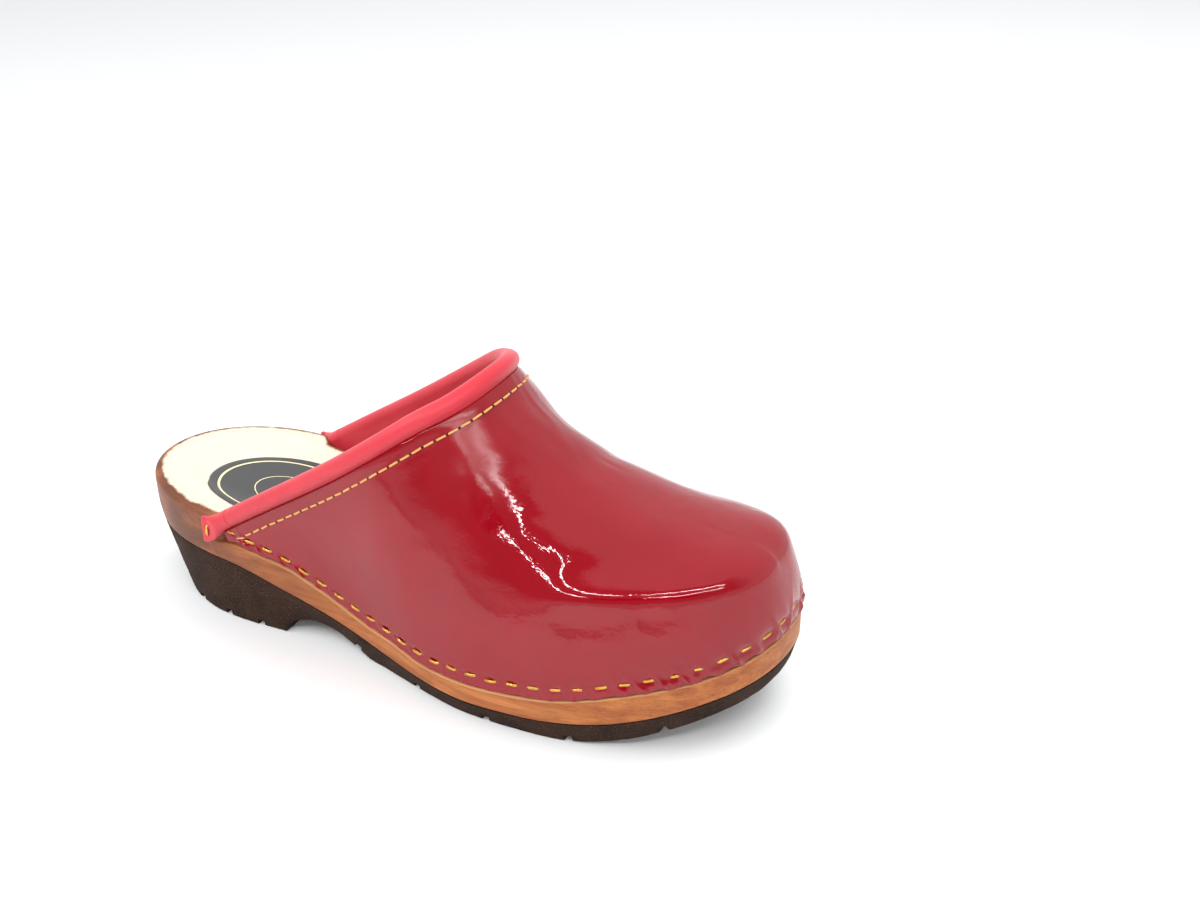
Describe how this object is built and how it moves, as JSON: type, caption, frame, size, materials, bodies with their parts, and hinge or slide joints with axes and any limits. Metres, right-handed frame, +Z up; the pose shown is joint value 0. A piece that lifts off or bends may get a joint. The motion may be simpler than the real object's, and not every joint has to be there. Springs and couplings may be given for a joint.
{
  "type": "wooden clog",
  "caption": "Closed-toe, open-back clog: glossy leather upper with a rolled collar, stapled round a carved wooden sole with a low heel and a grooved rubber outsole.",
  "frame": {"origin": "on the ground, under the centre of the clog's bounding box", "axes": "+X from heel to toe, +Y from the outer side to the inner side (towards the other foot), +Z up"},
  "size_m": [0.2552, 0.095, 0.1103],
  "materials": {
    "stained_wood": "satin orange-brown stain on the sides, bare cream footbed",
    "brown_rubber": "matte, finely speckled",
    "red_patent_leather": "high-gloss lacquered",
    "soft_red_strip": "matte",
    "lining": "matte",
    "puff_board": "matte, hidden",
    "foam_cord": "matte, hidden",
    "golden_thread": "waxed thread",
    "dark_label": "matte, thin gold ring",
    "brass_wire": "bright drawn wire"
  },
  "bodies": {
    "root": {"collar_core": "foam_cord", "collar_cover": "soft_red_strip", "collar_stitching": "golden_thread", "footbed_label": "dark_label", "lasting_staple_01": "brass_wire", "lasting_staple_02": "brass_wire", "lasting_staple_03": "brass_wire", "lasting_staple_04": "brass_wire", "lasting_staple_05": "brass_wire", "lasting_staple_06": "brass_wire", "lasting_staple_07": "brass_wire", "lasting_staple_08": "brass_wire", "lasting_staple_09": "brass_wire", "lasting_staple_10": "brass_wire", "lasting_staple_11": "brass_wire", "lasting_staple_12": "brass_wire", "lasting_staple_13": "brass_wire", "lasting_staple_14": "brass_wire", "lasting_staple_15": "brass_wire", "lasting_staple_16": "brass_wire", "lasting_staple_17": "brass_wire", "lasting_staple_18": "brass_wire", "lasting_staple_19": "brass_wire", "lasting_staple_20": "brass_wire", "lasting_staple_21": "brass_wire", "lasting_staple_22": "brass_wire", "lasting_staple_23": "brass_wire", "lasting_staple_24": "brass_wire", "lasting_staple_25": "brass_wire", "lasting_staple_26": "brass_wire", "lasting_staple_27": "brass_wire", "lasting_staple_28": "brass_wire", "lasting_staple_29": "brass_wire", "lasting_staple_30": "brass_wire", "lasting_staple_31": "brass_wire", "lasting_staple_32": "brass_wire", "lasting_staple_33": "brass_wire", "lasting_staple_34": "brass_wire", "lasting_staple_35": "brass_wire", "lasting_staple_37": "brass_wire", "lasting_staple_39": "brass_wire", "lasting_staple_41": "brass_wire", "lasting_staple_43": "brass_wire", "lasting_staple_45": "brass_wire", "lasting_staple_47": "brass_wire", "lasting_staple_49": "brass_wire", "lasting_staple_51": "brass_wire", "lasting_staple_53": "brass_wire", "lasting_staple_55": "brass_wire", "lasting_staple_57": "brass_wire", "patent_upper": "red_patent_leather", "rubber_outsole": "brown_rubber", "tab_staple_inner": "brass_wire", "tab_staple_outer": "brass_wire", "toe_puff": "puff_board", "upper_lining": "lining", "wooden_sole": "stained_wood"}
  },
  "joints": []
}
